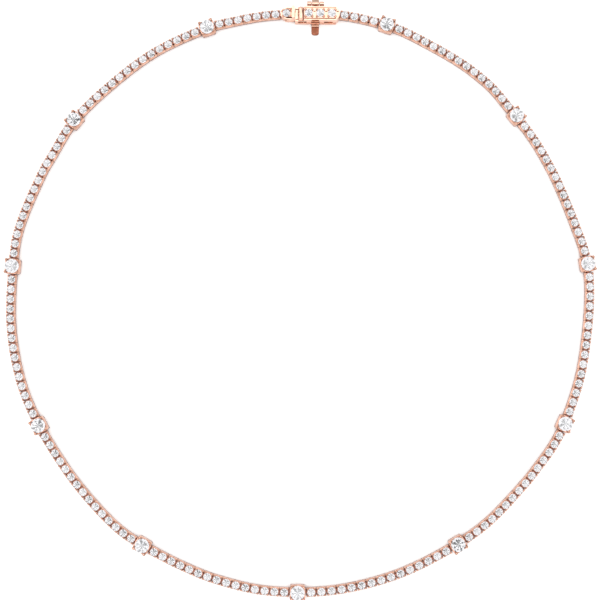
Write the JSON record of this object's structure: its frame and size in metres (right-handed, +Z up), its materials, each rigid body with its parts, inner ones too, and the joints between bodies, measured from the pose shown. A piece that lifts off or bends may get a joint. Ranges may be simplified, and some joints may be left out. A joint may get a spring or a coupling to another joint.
{
  "type": "riviere necklace",
  "caption": "Line necklace of small prong-set round stones with larger stations, closed in a ring by a box clasp with a safety bar.",
  "frame": {"origin": "middle of the whole ring, on the surface that the necklace lies on", "axes": "+Z up out of the stones' tables, +Y towards the clasp, +X towards the first station clockwise"},
  "size_m": [0.1407, 0.1428, 0.0039],
  "materials": {
    "link_gold": "polished rose gold, small links",
    "setting_gold": "polished rose gold, station baskets",
    "clasp_gold": "polished rose gold, clasp",
    "stone": "clear round brilliant"
  },
  "bodies": {
    "necklace": {"chain_right": "link_gold", "chain_left": "link_gold", "station_setting_1": "setting_gold", "station_setting_2": "setting_gold", "station_setting_3": "setting_gold", "station_setting_4": "setting_gold", "station_setting_5": "setting_gold", "station_setting_6": "setting_gold", "station_setting_7": "setting_gold", "station_setting_8": "setting_gold", "station_setting_9": "setting_gold", "station_setting_10": "setting_gold", "station_setting_11": "setting_gold", "station_stone_1": "stone", "station_stone_2": "stone", "station_stone_3": "stone", "station_stone_4": "stone", "station_stone_5": "stone", "station_stone_6": "stone", "station_stone_7": "stone", "station_stone_8": "stone", "station_stone_9": "stone", "station_stone_10": "stone", "station_stone_11": "stone", "clasp_box": "clasp_gold", "clasp_stone_1": "stone", "clasp_stone_2": "stone", "clasp_stone_3": "stone", "tongue": "clasp_gold", "tongue_stone": "stone", "hinge_pin": "clasp_gold"},
    "safety_bar": {"safety_bar": "clasp_gold"}
  },
  "joints": [
    {"name": "safety_bar_hinge", "type": "hinge", "parent": "necklace", "child": "safety_bar", "pos_m": [0.00367, 0.0702, 0.00307], "axis": [0.9999, -0.0106, 0], "range_deg": [0, 140]}
  ]
}
